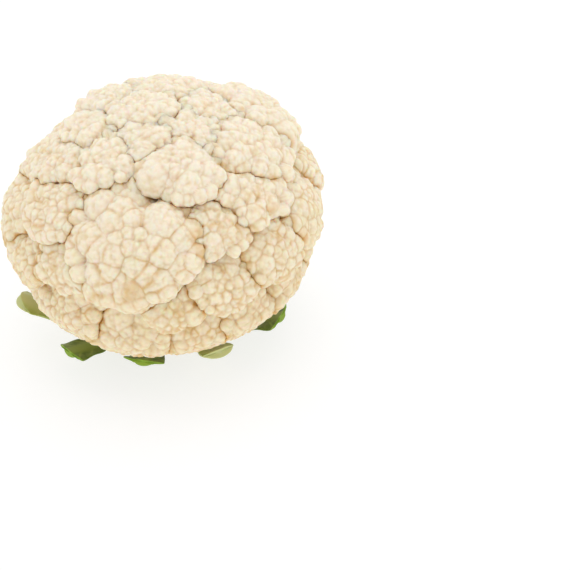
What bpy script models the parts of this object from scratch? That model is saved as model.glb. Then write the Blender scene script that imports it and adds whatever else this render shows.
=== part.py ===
"""A whole trimmed cauliflower: a thick stalk, the florets that branch from it, and cut-back leaves at its foot.

Run it with:  blender --background --python part.py
Metres, +Z up. The origin is the centre of the stalk's cut face, which the head stands on. The front is -Y.
Each floret is one solid, a branch with its dome of curd. The florets are joined by nature at the stalk only:
above it they are pressed against each other, so each one is kept inside its own cell of space, and no two
cells meet. Changing a size moves the cells with it.
"""

import math

import bmesh
import bpy
import numpy as np
from mathutils import Matrix, Vector

# ---------------------------------------------------------------- driving dimensions, in metres

HEAD_WIDTH = 0.180  # across the curd at its widest
HEAD_HEIGHT = 0.160  # from the table to the crown
MIDDLE_HEIGHT = 0.080  # where the curd is widest
CURD_FLOOR = 0.012  # the curd curls under towards this height, and never below it

STALK_FOOT_RADIUS = 0.0245  # of the cut face that the head stands on
STALK_RADIUS = 0.0275  # where the lowest branches leave it
HUB_HEIGHT = 0.030  # the point that all the branches radiate from
CORE_RISE = 0.052  # how far the stalk's domed core rises above the hub
FOOT_BEVEL = 0.0015  # the cut face's worn edge

BRANCH_RADIUS = 0.0048  # of a floret's stem where it leaves the core
CURD_DEPTH = 1.35  # how deep the curd of a floret is, as a share of its half width
DOME_RISE = 0.52  # how high its dome stands above the widest part, as a share of its half width
MOST_SPREAD = 1.45  # how far the curd may spread into free space, as a share of its half width
PRESSED_GAP = 0.0006  # between two florets
ROOT_GAP = 0.0004  # between a floret or a leaf and the stalk

LEAF_CLEARANCE = 0.0016  # between the curd's underside and a leaf
LEAF_RIB_THICKNESS = 0.0062  # at the middle of a leaf's root
LEAF_EDGE_SHARE = 0.26  # the edge's thickness, as a share of the rib's
LEAF_GAP_DEGREES = 1.6  # between two neighbouring leaves, seen from above

FLORET_SIDES = 14
LEAF_COLUMNS, LEAF_ROWS = 6, 9
STALK_SIDES = 32

# ---------------------------------------------------------------- where each piece grows

# Azimuth is seen from above, 0 at the front and 90 on the right. Polar is the angle down from the crown, and
# the half angle is the floret's half width, both seen from the middle of the curd. Stretch is how much further
# than sideways the floret hangs down the head, and reach is how far out it comes, 1 being the head's outline.
FLORETS = {
    "crown": [
        # azimuth, polar, half angle, stretch, reach
        (-94, 6, 12.0, 1.0, 1.00),
        (-7, 22, 9.5, 1.0, 0.99),
        (50, 20, 9.0, 1.0, 0.985),
        (105, 22, 9.5, 1.0, 0.99),
        (173, 18, 11.0, 1.0, 1.00),
        (-118, 24, 10.0, 1.0, 1.00),
        (-76, 29, 9.0, 1.0, 0.99),
    ],
    "shoulder": [
        (-31, 34, 10.5, 1.0, 1.00),
        (18, 35, 13.0, 1.0, 1.02),
        (70, 42, 14.0, 1.0, 1.04),
        (116, 46, 14.5, 1.0, 1.08),
        (161, 50, 15.5, 1.0, 1.02),
        (-156, 43, 12.5, 1.0, 0.98),
        (-118, 50, 13.5, 1.0, 0.92),
        (-62, 43, 9.5, 1.0, 0.985),
        (-84, 51, 10.0, 1.0, 0.96),
    ],
    "side": [
        (-49, 59, 11.0, 1.0, 1.00),
        (-74, 70, 11.0, 1.1, 1.00),
        (-7, 61, 24.0, 1.0, 1.03),
        (30, 60, 9.0, 1.0, 0.99),
        (51, 55, 12.0, 1.0, 1.02),
        (-56, 82, 10.0, 1.0, 1.00),
        (-38, 78, 8.5, 1.2, 0.99),
        (52, 76, 12.0, 1.1, 1.00),
        (27, 81, 10.0, 1.2, 0.99),
        (80, 73, 13.5, 1.3, 1.01),
        (107, 71, 12.5, 1.25, 1.05),
        (136, 78, 15.5, 1.25, 1.03),
        (164, 82, 12.5, 1.2, 1.00),
        (-167, 74, 13.5, 1.25, 1.00),
        (-137, 78, 15.5, 1.2, 1.01),
        (-104, 77, 13.5, 1.25, 0.98),
    ],
    "skirt": [
        (-37, 100, 13.0, 1.7, 0.99),
        (-11, 107, 14.5, 1.5, 1.00),
        (9, 89, 9.0, 1.0, 0.98),
        (16, 110, 13.0, 1.5, 0.98),
        (-63, 106, 12.0, 1.7, 0.98),
        (-89, 102, 12.5, 1.8, 0.98),
        (-120, 103, 13.5, 1.7, 0.99),
        (-151, 107, 13.5, 1.6, 0.99),
        (-179, 99, 14.5, 1.7, 0.99),
        (152, 107, 13.0, 1.6, 0.99),
        (124, 104, 13.5, 1.7, 0.99),
        (97, 98, 14.5, 1.8, 0.99),
        (69, 104, 12.5, 1.7, 0.99),
        (43, 106, 13.0, 1.6, 0.98),
    ],
}

# Azimuth, the polar angle that the trimmed end reaches, and how far that end stands off the curd, in metres.
LEAVES = [
    (-78, 113, 0.0140),
    (-47, 124, 0.0140),
    (-9, 127, 0.0040),
    (31, 126, 0.0040),
    (68, 121, 0.0070),
    (106, 118, 0.0090),
    (147, 127, 0.0050),
    (-169, 123, 0.0070),
    (-126, 129, 0.0040),
]

MIDDLE = np.array([0.0, 0.0, MIDDLE_HEIGHT])
HUB = np.array([0.0, 0.0, HUB_HEIGHT])
HALF_WIDTH = HEAD_WIDTH / 2
RISE = HEAD_HEIGHT - MIDDLE_HEIGHT
DROP = MIDDLE_HEIGHT - CURD_FLOOR


def unit(vector):
    return vector / np.linalg.norm(vector)


def direction(azimuth, polar):
    """The way an azimuth and a polar angle point, both in degrees."""
    turn, lean = math.radians(azimuth), math.radians(polar)
    return np.array(
        [math.sin(turn) * math.sin(lean), -math.cos(turn) * math.sin(lean), math.cos(lean)]
    )


def outline_radius(way):
    """From the curd's middle to the head's outline, which is half of one ellipsoid above half of another."""
    rise = RISE if way[2] > 0 else DROP
    return 1 / math.sqrt((way[0] ** 2 + way[1] ** 2) / HALF_WIDTH**2 + way[2] ** 2 / rise**2)


def principled(name, colour, roughness):
    """A plain material: colour is linear red, green and blue."""
    material = bpy.data.materials.new(name)
    material.use_nodes = True
    shader = material.node_tree.nodes["Principled BSDF"]
    shader.inputs["Base Color"].default_value = (*colour, 1)
    shader.inputs["Roughness"].default_value = roughness
    shader.inputs["Metallic"].default_value = 0
    material.diffuse_color = (*colour, 1)
    return material


def add_object(name, mesh, material, parent, matrix=None):
    """A mesh as a named object of the cauliflower, placed by its matrix."""
    placed = bpy.data.objects.new(name, mesh)
    bpy.data.collections["cauliflower"].objects.link(placed)
    placed.parent = parent
    if matrix is not None:
        placed.matrix_local = matrix
    mesh.materials.append(material)
    return placed


# ---------------------------------------------------------------- florets


class Floret:
    """Where one floret grows: its root on the core, its top on the outline and its own frame of axes."""

    def __init__(self, azimuth, polar, half_angle, stretch, reach):
        outward = direction(azimuth, polar)
        from_middle = outline_radius(outward) * reach
        self.top = MIDDLE + outward * from_middle
        self.half_width = from_middle * math.sin(math.radians(half_angle))
        self.stretch = stretch
        self.axis = unit(self.top - HUB)
        steepness = np.array([STALK_RADIUS, STALK_RADIUS, CORE_RISE])
        to_core = 1 / np.linalg.norm(self.axis / steepness)
        self.core_point = HUB + self.axis * to_core
        self.core_normal = unit((self.core_point - HUB) / steepness**2)
        self.across = unit(np.cross([0.0, 0.0, 1.0], self.axis))
        self.along = np.cross(self.axis, self.across)
        self.length = np.linalg.norm(self.top - self.core_point)
        # A cell is the space nearer to this floret's axis than to any other, in proportion to their sizes.
        spread = math.atan(self.half_width / np.linalg.norm(self.top - HUB))
        self.weighted_axis = self.axis / math.cos(spread)

    def matrix(self):
        """The floret's own frame: across is X, along is Y and its axis is Z, with the origin at its root."""
        columns = np.eye(4)
        columns[:3, 0], columns[:3, 1], columns[:3, 2] = self.across, self.along, self.axis
        columns[:3, 3] = self.core_point
        return Matrix(columns.tolist())


def wall_room(floret, others, heights, sideways):
    """How far from the axis a wall is met, going that way at that height above the hub."""
    room = np.full(len(heights), np.inf)
    for other in others:
        wall = unit(other.weighted_axis - floret.weighted_axis)
        towards = sideways @ wall
        free = (-PRESSED_GAP / 2 - heights * (floret.axis @ wall)) / np.maximum(towards, 1e-9)
        room = np.where(towards > 1e-6, np.minimum(room, np.maximum(free, 0)), room)
    return room


def inside_outline(points):
    """Points below the curd's middle, drawn in to the head's outline."""
    from_middle = points - MIDDLE
    flat = (from_middle[:, 0] ** 2 + from_middle[:, 1] ** 2) / HALF_WIDTH**2
    level = np.sqrt(flat + from_middle[:, 2] ** 2 / DROP**2)
    too_far = (level > 1) & (from_middle[:, 2] < 0)
    shrink = np.where(too_far, 1 / np.maximum(level, 1e-9), 1)
    return MIDDLE + from_middle * shrink[:, None]


def pressed(points, floret, others):
    """Points moved towards the floret's axis until they are in its own cell, half a gap inside each wall."""
    from_hub = points - HUB
    heights = from_hub @ floret.axis
    sideways = from_hub - heights[:, None] * floret.axis
    distance = np.maximum(np.linalg.norm(sideways, axis=1), 1e-9)
    ways = sideways / distance[:, None]
    keep = np.minimum(distance, wall_room(floret, others, heights, ways))
    return HUB + heights[:, None] * floret.axis + ways * keep[:, None]


def off_the_core(points, floret):
    """Points near the root moved out along the floret's axis until they clear the core by its gap."""
    above = (points - floret.core_point) @ floret.core_normal
    lift = np.maximum(ROOT_GAP - above, 0) / (floret.axis @ floret.core_normal)
    return points + lift[:, None] * floret.axis


def floret_points(floret, others, rows, turns):
    """The floret's surface: its rows run from the root, up the branch and round the curd to the dome's top."""
    half, length = floret.half_width, floret.length
    to_core = (floret.core_point - HUB) @ floret.axis
    ways = np.cos(turns)[:, None] * floret.across + np.sin(turns)[:, None] * floret.along
    # Each side spreads until it meets a neighbour. A stretched floret spreads furthest where it hangs down.
    widest_at = length - DOME_RISE * half
    hanging = 1 + (floret.stretch - 1) * np.maximum(-np.sin(turns), 0)
    free = wall_room(floret, others, np.full(len(turns), to_core + widest_at), ways)
    spread = np.minimum(MOST_SPREAD * half * hanging, free)

    branch = min(BRANCH_RADIUS, 0.5 * half)
    curd_base = max(length - CURD_DEPTH * half, 0.45 * length)
    flank = [
        (0, 0.0),
        (branch, 0.0),
        (1.2 * branch, 0.62 * curd_base),
        (0.72 * spread, curd_base),
    ]
    dome = [1.0, 0.93, 0.74, 0.5, 0.25, 0.0]
    profile = flank + [
        (share * spread, widest_at + DOME_RISE * half * math.sqrt(1 - share**2)) for share in dome
    ]
    radii = np.array([np.broadcast_to(radius, turns.shape) for radius, _ in profile])
    radius = radii[rows, np.arange(len(turns))]
    height = np.array([height for _, height in profile])[rows]
    world = floret.core_point + height[:, None] * floret.axis + radius[:, None] * ways
    return off_the_core(pressed(inside_outline(world), floret, others), floret)


def add_floret(name, floret, others, material, parent):
    """A sphere primitive, each of its rings drawn out to one row of the floret's surface."""
    rings = 9
    form = bmesh.new()
    bmesh.ops.create_uvsphere(form, u_segments=FLORET_SIDES, v_segments=rings, radius=1)
    sphere = np.array([vertex.co[:] for vertex in form.verts])
    # Row 0 is the sphere's lower pole and the last row its upper pole.
    rows = np.rint(np.arccos(np.clip(-sphere[:, 2], -1, 1)) / math.pi * rings).astype(int)
    world = floret_points(floret, others, rows, np.arctan2(sphere[:, 1], sphere[:, 0]))
    local = (world - floret.core_point) @ np.stack([floret.across, floret.along, floret.axis]).T
    for vertex, point in zip(form.verts, local):
        vertex.co = Vector(point)
    mesh = bpy.data.meshes.new(name)
    form.to_mesh(mesh)
    form.free()
    mesh.shade_smooth()
    return add_object(name, mesh, material, parent, floret.matrix())


# ---------------------------------------------------------------- stalk


def stalk_radius(height):
    """The stalk's radius at a height below the hub, where it widens a little from its cut foot."""
    return STALK_FOOT_RADIUS + (STALK_RADIUS - STALK_FOOT_RADIUS) * min(height / HUB_HEIGHT, 1)


def add_stalk(material, parent):
    """The stalk as a turned profile: a flat cut foot, a tapered trunk and the domed core inside the head."""
    outline = [(0.0, HUB_HEIGHT + CORE_RISE)]
    steps = 8
    for step in range(1, steps + 1):
        lean = math.pi / 2 * step / steps
        outline.append((STALK_RADIUS * math.sin(lean), HUB_HEIGHT + CORE_RISE * math.cos(lean)))
    outline.append((stalk_radius(HUB_HEIGHT / 2), HUB_HEIGHT / 2))
    outline.append((stalk_radius(FOOT_BEVEL), FOOT_BEVEL))
    outline.append((STALK_FOOT_RADIUS - FOOT_BEVEL, 0.0))
    outline.append((0.0, 0.0))
    mesh = bpy.data.meshes.new("stalk")
    edges = [(k, k + 1) for k in range(len(outline) - 1)]
    mesh.from_pydata([(radius, 0, height) for radius, height in outline], edges, [])
    stalk = add_object("stalk", mesh, material, parent)
    screw = stalk.modifiers.new("turn", "SCREW")
    screw.steps = screw.render_steps = STALK_SIDES
    screw.use_merge_vertices = True
    screw.merge_threshold = 0.00001
    screw.use_smooth_shade = True
    return stalk


# ---------------------------------------------------------------- leaves


def leaf_half_degrees(index):
    """Half the angle that a leaf may take up, seen from above, so that it clears both its neighbours."""
    azimuths = sorted(leaf[0] % 360 for leaf in LEAVES)
    own = LEAVES[index][0] % 360
    place = azimuths.index(own)
    after = (azimuths[(place + 1) % len(azimuths)] - own) % 360
    before = (own - azimuths[place - 1]) % 360
    return (min(after, before) - LEAF_GAP_DEGREES) / 2


def leaf_upper_side(polar, stand_off):
    """(distance from the stalk's axis, height) of a leaf's upper side, a clearance below the outline."""
    way = direction(0, polar)
    radius = outline_radius(way)
    point = np.array([-way[1] * radius, way[2] * radius + MIDDLE_HEIGHT])
    normal = unit(np.array([point[0] / HALF_WIDTH**2, (point[1] - MIDDLE_HEIGHT) / DROP**2]))
    return point + normal * (LEAF_CLEARANCE + stand_off)


def leaf_midline(end_polar, stand_off):
    """The upper side's points from the stalk out to the trimmed end, evenly spread by angle."""
    outline_at_stalk = MIDDLE_HEIGHT - DROP * math.sqrt(1 - (STALK_RADIUS / HALF_WIDTH) ** 2)
    root_height = outline_at_stalk - LEAF_CLEARANCE
    root = np.array([stalk_radius(root_height) + ROOT_GAP, root_height])
    root_polar = 180 - math.degrees(math.atan2(root[0], MIDDLE_HEIGHT - root[1]))
    points = []
    for row in range(LEAF_ROWS + 1):
        share = row / LEAF_ROWS
        followed = leaf_upper_side(
            root_polar + (end_polar - root_polar) * share, stand_off * share**1.5
        )
        # The first rows ease from the root on the stalk to the line that follows the curd.
        ease = min(share / 0.25, 1)
        level = root + (followed - root) * ease if row else root
        points.append(np.array([max(level[0], root[0]), min(level[1], followed[1])]))
    return points


def add_leaf(name, index, material, parent):
    """A grid bent under the curd. Solidify gives its thickness, thick along the rib and thin at the edges."""
    azimuth, end_polar, stand_off = LEAVES[index]
    midline = leaf_midline(end_polar, stand_off)
    widest = leaf_half_degrees(index)
    form = bmesh.new()
    bmesh.ops.create_grid(form, x_segments=LEAF_COLUMNS, y_segments=LEAF_ROWS, size=1)
    thicknesses = []
    for vertex in form.verts:
        sideways = vertex.co.x
        row = round((vertex.co.y + 1) / 2 * LEAF_ROWS)
        # The trimmed end is a little round: its corners stop short of the middle.
        radius, height = midline[row]
        if row == LEAF_ROWS:
            back = 0.35 * sideways**2
            radius, height = midline[row] * (1 - back) + midline[row - 1] * back
        # Wide at the root, which clasps the stalk, narrower past it, and wide again where the blade begins.
        share = row / LEAF_ROWS
        width = widest * (1 - 0.22 * math.sin(math.pi * min(share / 0.7, 1)))
        turn = math.radians(sideways * width)
        vertex.co = Vector((radius * math.sin(turn), -radius * math.cos(turn), height))
        rib = (1 - abs(sideways)) ** 1.3
        taper = 1 - 0.45 * share
        thicknesses.append((LEAF_EDGE_SHARE + (1 - LEAF_EDGE_SHARE) * rib) * taper)
    bmesh.ops.recalc_face_normals(form, faces=form.faces)
    form.normal_update()
    if sum(face.normal.z for face in form.faces) > 0:
        bmesh.ops.reverse_faces(form, faces=form.faces)
    mesh = bpy.data.meshes.new(name)
    form.to_mesh(mesh)
    form.free()
    mesh.shade_smooth()
    leaf = add_object(name, mesh, material, parent)
    leaf.rotation_euler.z = math.radians(azimuth)
    group = leaf.vertex_groups.new(name="thickness")
    for number, thickness in enumerate(thicknesses):
        group.add([number], thickness, "REPLACE")
    solidify = leaf.modifiers.new("thickness", "SOLIDIFY")
    solidify.thickness = LEAF_RIB_THICKNESS
    solidify.offset = 1
    solidify.vertex_group = "thickness"
    return leaf


# ---------------------------------------------------------------- the whole head


def main():
    for old in list(bpy.data.objects):
        bpy.data.objects.remove(old)
    collection = bpy.data.collections.new("cauliflower")
    bpy.context.scene.collection.children.link(collection)
    head = bpy.data.objects.new("head", None)
    collection.objects.link(head)

    curd = principled("curd", (0.84, 0.73, 0.52), 0.6)
    stalk_skin = principled("stalk_skin", (0.76, 0.74, 0.50), 0.5)
    leaf_green = principled("leaf_green", (0.27, 0.38, 0.07), 0.45)

    add_stalk(stalk_skin, head)
    for index in range(len(LEAVES)):
        add_leaf(f"leaf_{index + 1}", index, leaf_green, head)
    florets = {
        f"{ring}_floret_{number + 1:02d}": Floret(*place)
        for ring, places in FLORETS.items()
        for number, place in enumerate(places)
    }
    for name, floret in florets.items():
        others = [other for other in florets.values() if other is not floret]
        add_floret(name, floret, others, curd, head)


main()
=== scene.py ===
# %% [markdown]
# # A head of cauliflower
#
# A cauliflower is a flower that never opens. Its stalk divides into branches, each branch ends in a floret,
# each floret is a dome of smaller florets, and those are made of buds that are smaller still. The same
# shape repeats three or four times, each time a few times smaller, and that repeat is what makes the
# surface look real.
#
# This lesson builds it around a CAD model of plain solids: one for each floret, one for the stalk and one
# for each trimmed leaf. Every plain solid is replaced by a fine surface that grows from it, so the places
# and the sizes all come from the frame.

import itertools
import math
from concurrent.futures import ThreadPoolExecutor

import bpy
import numpy as np
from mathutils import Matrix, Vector
from mathutils.bvhtree import BVHTree


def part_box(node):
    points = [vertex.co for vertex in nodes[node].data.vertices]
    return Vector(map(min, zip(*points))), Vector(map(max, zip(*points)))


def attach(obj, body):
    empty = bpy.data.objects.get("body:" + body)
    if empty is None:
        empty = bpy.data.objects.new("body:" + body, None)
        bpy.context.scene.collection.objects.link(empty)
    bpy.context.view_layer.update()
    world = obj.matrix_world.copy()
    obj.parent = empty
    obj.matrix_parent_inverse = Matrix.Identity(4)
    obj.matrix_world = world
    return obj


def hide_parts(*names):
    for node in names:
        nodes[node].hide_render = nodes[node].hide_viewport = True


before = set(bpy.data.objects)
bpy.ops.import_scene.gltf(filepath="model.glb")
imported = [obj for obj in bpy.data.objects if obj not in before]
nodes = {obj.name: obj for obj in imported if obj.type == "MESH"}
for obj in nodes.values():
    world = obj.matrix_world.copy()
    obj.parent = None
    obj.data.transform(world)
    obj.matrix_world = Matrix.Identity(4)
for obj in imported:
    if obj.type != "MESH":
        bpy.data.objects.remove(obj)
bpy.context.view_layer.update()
floret_names = sorted(name for name in nodes if "_floret_" in name)
leaf_names = sorted(name for name in nodes if name.startswith("leaf_"))
print(len(floret_names), "florets,", len(leaf_names), "leaves and a stalk in the frame")

# %% [markdown]
# ## Small tools
#
# A colour is written as the hex value that a colour picker shows, which is sRGB, while a shader works with
# linear light, so one function converts it. The others add a shader node, turn whole arrays of points and
# faces into a mesh, read the CAD surfaces, and turn points about an axis.


# %% Colours
def linear(hex_colour):
    """An sRGB hex colour as linear red, green, blue and alpha: under 0.04045 a channel is divided by
    12.92, and above it the channel plus 0.055, over 1.055, is raised to the power 2.4."""
    srgb = np.array([int(hex_colour[start : start + 2], 16) / 255 for start in (1, 3, 5)])
    low = srgb / 12.92
    high = ((srgb + 0.055) / 1.055) ** 2.4
    return (*np.where(srgb <= 0.04045, low, high), 1.0)


print("ivory in linear light:", [round(float(channel), 3) for channel in linear("#F1E6CB")])


# %% One shader node
def add(tree, kind, values=None, links=None, stops=None, **settings):
    """Adds a shader node of that kind. values sets its input sockets, links joins them to other nodes'
    outputs, stops gives a colour ramp its (position, hex colour) pairs, and settings are its properties."""
    node = tree.nodes.new("ShaderNode" + kind)
    for name, value in settings.items():
        setattr(node, name, value)
    for name, value in (values or {}).items():
        node.inputs[name].default_value = value
    for name, output in (links or {}).items():
        tree.links.new(output, node.inputs[name])
    for number, (position, colour) in enumerate(stops or []):
        elements = node.color_ramp.elements
        element = elements[number] if number < 2 else elements.new(position)
        element.position, element.color = position, linear(colour)
    return node


def new_material(name):
    """(material, its empty node tree)."""
    material = bpy.data.materials.new(name)
    material.use_nodes = True
    material.node_tree.nodes.clear()
    return material, material.node_tree


trial, tree = new_material("trial")
print("added a", add(tree, "Bump", {"Strength": 0.3}).bl_label, "node to", trial.name)
bpy.data.materials.remove(trial)


# %% One mesh
def make_piece(name, points, quads, triangles, material, **attributes):
    """A smooth mesh object at the origin from whole arrays: (n, 3) points, (m, 4) quads and (k, 3) triangles.
    Each attribute is one number for each point."""
    mesh = bpy.data.meshes.new(name)
    mesh.vertices.add(len(points))
    mesh.vertices.foreach_set("co", points.astype(np.float32).ravel())
    corners = np.concatenate([quads.ravel(), triangles.ravel()]).astype(np.int32)
    sizes = np.concatenate([np.full(len(quads), 4), np.full(len(triangles), 3)])
    mesh.loops.add(len(corners))
    mesh.loops.foreach_set("vertex_index", corners)
    mesh.polygons.add(len(sizes))
    mesh.polygons.foreach_set("loop_start", np.concatenate([[0], np.cumsum(sizes)[:-1]]))
    mesh.update(calc_edges=True)
    mesh.validate()
    for attribute, numbers in attributes.items():
        layer = mesh.attributes.new(attribute, "FLOAT", "POINT")
        layer.data.foreach_set("value", numbers.astype(np.float32))
    mesh.shade_smooth()
    mesh.materials.append(material)
    piece = bpy.data.objects.new(name, mesh)
    bpy.context.scene.collection.objects.link(piece)
    return piece


def corner_points(name):
    """The corners of a CAD node's triangles, three rows to a triangle."""
    mesh = nodes[name].data
    points = np.empty(len(mesh.vertices) * 3)
    corners = np.empty(len(mesh.loops), np.int32)
    mesh.vertices.foreach_get("co", points)
    mesh.loops.foreach_get("vertex_index", corners)
    return points.reshape(-1, 3)[corners]


def cad_surface(name):
    """(points, how many corners meet at each, a tree for casting rays at it) of a CAD node."""
    points, index, shares = np.unique(
        np.round(corner_points(name), 6), axis=0, return_inverse=True, return_counts=True
    )
    return points, shares, BVHTree.FromPolygons(points.tolist(), index.reshape(-1, 3).tolist())


def reach_along(surface, origin, ways, missed):
    """How far the surface is from the origin along each direction, with that value for a ray that misses."""
    reached = [surface.ray_cast(Vector(origin), Vector(way))[3] for way in ways]
    return np.array([distance or missed for distance in reached])


def turned(radius, turn, height):
    """Points at that radius, turn about Z and height: the radius times the turn's cosine and sine."""
    coordinates = np.broadcast_arrays(radius * np.cos(turn), radius * np.sin(turn), height)
    return np.stack(coordinates, axis=-1)


print("the plain stalk has", len(corner_points("stalk")) // 3, "triangles")


# %% [markdown]
# ## Buds: a noise of small domes
#
# The finest grain of the curd is a carpet of buds, each a small dome pressed against its neighbours.
# Cellular noise makes exactly that. Space is cut into cubes, each cube holds one random seed point, and the
# distance to the nearest seed grows from zero at the middle of a bud to its largest at the border with the
# next one. One minus the square of that distance is a dome.


# %% Cellular noise on whole arrays
def scattered(cells):
    """One repeatable random point in each lattice cube. The fractional part of a large sine is as good as
    random: each coordinate takes its own mix of the cube's three numbers."""
    mixes = np.array([[127.1, 311.7, 74.7], [269.5, 183.3, 246.1], [113.5, 271.9, 124.6]])
    return np.modf(np.abs(np.sin(cells @ mixes.T)) * 43758.5453)[0]


def bud_domes(points, spacing):
    """Height from 0, between buds, to 1, on top of one: one minus the squared distance to the nearest
    seed, where the distance is measured in bud spacings and 27 cubes round the point are searched."""
    scaled = points / spacing
    home = np.floor(scaled)
    nearest = np.full(len(points), 9.0)
    for step in itertools.product((-1, 0, 1), repeat=3):
        cube = home + step
        seed = cube + scattered(cube)
        nearest = np.minimum(nearest, ((scaled - seed) ** 2).sum(axis=1))
    return 1 - np.minimum(nearest, 1)


sample = bud_domes(np.random.default_rng(1).uniform(0, 0.05, (2000, 3)), 0.004)
print("bud heights from", round(sample.min(), 2), "to", round(sample.max(), 2))

# %% [markdown]
# ## Where a floret stands
#
# A CAD floret is a lathe-like solid: rings of points from a flat root, up a branch and round a dome. Its
# root is the end of the fan of triangles nearest the stalk, and its axis runs from the hub, the place in
# the stalk where all the branches begin, through the root to the top. The floret's heart is a point on the
# axis, deep in the dome, from where every bit of the surface can be seen. So the surface can be described
# by one number for each direction: how far it is from the heart.

# %% Reading the florets
HUB = np.array([0, 0, 0.030])  # metres, where the branches' axes meet in the stalk
HEART_DEPTH = 1.05  # of the dome's own half width, below its top
SIDES = 28  # directions across the axis in which a floret's spread is measured


class Floret:
    """One CAD floret: its root, top and heart, its axis with two directions across it, and how far it
    spreads."""

    def __init__(self, name):
        self.name = name
        points, shares, self.surface = cad_surface(name)
        fans = points[shares >= 12]
        self.root = fans[np.argmin(np.linalg.norm(fans - HUB, axis=1))]
        self.axis = (self.root - HUB) / np.linalg.norm(self.root - HUB)
        self.across = np.cross([0, 0, 1], self.axis)
        self.across /= np.linalg.norm(self.across)
        self.along = np.cross(self.axis, self.across)
        local = (points - self.root) @ np.stack([self.across, self.along, self.axis]).T
        radii = np.hypot(local[:, 0], local[:, 1])
        self.length = local[radii < 0.001, 2].max()
        self.top = self.root + self.length * self.axis
        rim = (local[:, 2] > 0.45 * self.length) & (radii > 0.001)
        turns = np.arctan2(local[rim, 1], local[rim, 0])
        apart = np.abs((turns - self.measured_turns()[:-1, None] + math.pi) % (2 * math.pi) - math.pi)
        self.spreads = np.where(apart < 0.27, radii[rim], 0).max(axis=1)
        self.half_width = self.spreads.mean()
        near_root = (local[:, 2] < 0.1 * self.length) & (radii > 0.001)
        self.branch_radius = np.median(radii[near_root])
        self.heart = self.top - HEART_DEPTH * self.half_width * self.axis

    def measured_turns(self):
        """The directions across the axis in which the spread is measured, the first one again at the end."""
        return np.linspace(0, 2 * math.pi, SIDES + 1)

    def spread(self, turn):
        """How far the floret reaches from its axis at that turn: straight lines between the measured
        spreads."""
        spreads = np.append(self.spreads, self.spreads[0])
        return np.interp(turn % (2 * math.pi), self.measured_turns(), spreads)

    def ways(self, local):
        """Local directions, whose Z is the floret's axis, as directions in the frame."""
        return local @ np.stack([self.across, self.along, self.axis])


florets = [Floret(name) for name in floret_names]
widths = [floret.half_width * 1000 for floret in florets]
print("half widths from", round(min(widths), 1), "to", round(max(widths), 1), "mm")

# %% [markdown]
# ## Lumps: the small florets of a floret
#
# New lumps form at the middle of a floret and move outwards as they grow, each one 137.5 degrees round from
# the last, the golden angle, as seeds do in a sunflower. So the ones at the middle are small and the ones
# at the rim are large. Each lump is a ball that is sunk into a low dome until only its cap stands out. The
# dome is lower than half a ball, because florets that grow side by side press each other flat, and its rim
# lumps lean on the wall between two florets.

# %% The low dome
GOLDEN_ANGLE = math.radians(137.508)
DOME_DROP = 0.46  # how far the dome falls from its top to its rim, as a share of the half width
RIM_FALL = 0.95  # how steep the dome is at its rim, 1 being upright
CROWDING = 0.68  # 0.5 spaces the lumps evenly, more makes those at the middle smaller


def lump_spacing(half_width):
    """How far apart the rim lumps are: large florets carry larger lumps, but not in full proportion."""
    return 0.0094 * (half_width / 0.020) ** 0.70


def on_dome(floret, share, turn):
    """Points of the low dome. A share of 0 is its top and 1 its rim. It falls as a quarter of an ellipse
    does: 1 minus the root of 1 minus the squared share. Past a share of 1 it goes straight down the
    floret's side."""
    inside = np.minimum(share, 1)
    down = DOME_DROP * floret.half_width * (1 - np.sqrt(1 - (RIM_FALL * inside) ** 2))
    down += floret.half_width * np.maximum(share - 1, 0)
    sideways = floret.spread(turn) * inside * (1.03 - 0.25 * np.maximum(share - 1, 0))
    return floret.root + floret.ways(turned(sideways, turn, floret.length - down))


spacings = [lump_spacing(floret.half_width) * 1000 for floret in florets]
print("rim lumps stand", round(min(spacings), 1), "to", round(max(spacings), 1), "mm apart")


# %% Laying the lumps
def lay_lumps(floret, random):
    """(centres, radii) of the balls. Ball n is n golden angles round, at a share of the way to the rim
    that grows as a power of n. The count is the dome's area over the area that one lump takes."""
    spacing = lump_spacing(floret.half_width) * random.uniform(0.85, 1.15)
    on_top = max(int(math.pi * floret.half_width**2 / (0.62 * spacing**2)), 8)
    count = int(1.9 * on_top)
    number = np.arange(count) + 0.5 + random.normal(0, 0.3, count)
    share = (np.abs(number) / on_top) ** CROWDING
    turn = GOLDEN_ANGLE * np.arange(count) + random.uniform(0, 6) + random.normal(0, 0.14, count)
    places = on_dome(floret, share, turn)
    apart = np.sort(np.linalg.norm(places[:, None] - places, axis=2), axis=1)[:, 1:6].mean(axis=1)
    radii = apart * random.uniform(0.70, 0.95, count)
    sunk = np.interp(share, [0, 0.7, 1], [0.92, 0.86, 0.76]) * radii
    out = floret.ways(turned(np.sin(share), turn, np.cos(share)))
    return places - sunk[:, None] * out, radii


centres, radii = lay_lumps(florets[0], np.random.default_rng(100))
print(florets[0].name, "carries", len(radii), "lumps of", round(radii.mean() * 2000, 1), "mm on average")


# %% Filling up between and under the lumps
def fill_corners(floret, random):
    """(centres, radii) of smaller balls low along the rim, which close the corners where three florets
    meet."""
    count = 26
    turn = (np.arange(count) + random.uniform(0, 1, count)) * 2 * math.pi / count
    radii = lump_spacing(floret.half_width) * random.uniform(0.42, 0.62, count)
    share = random.uniform(1.0, 1.25, count)
    places = on_dome(floret, share, turn)
    return places - 0.1 * radii[:, None] * floret.ways(turned(1, turn, 0)), radii


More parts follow.
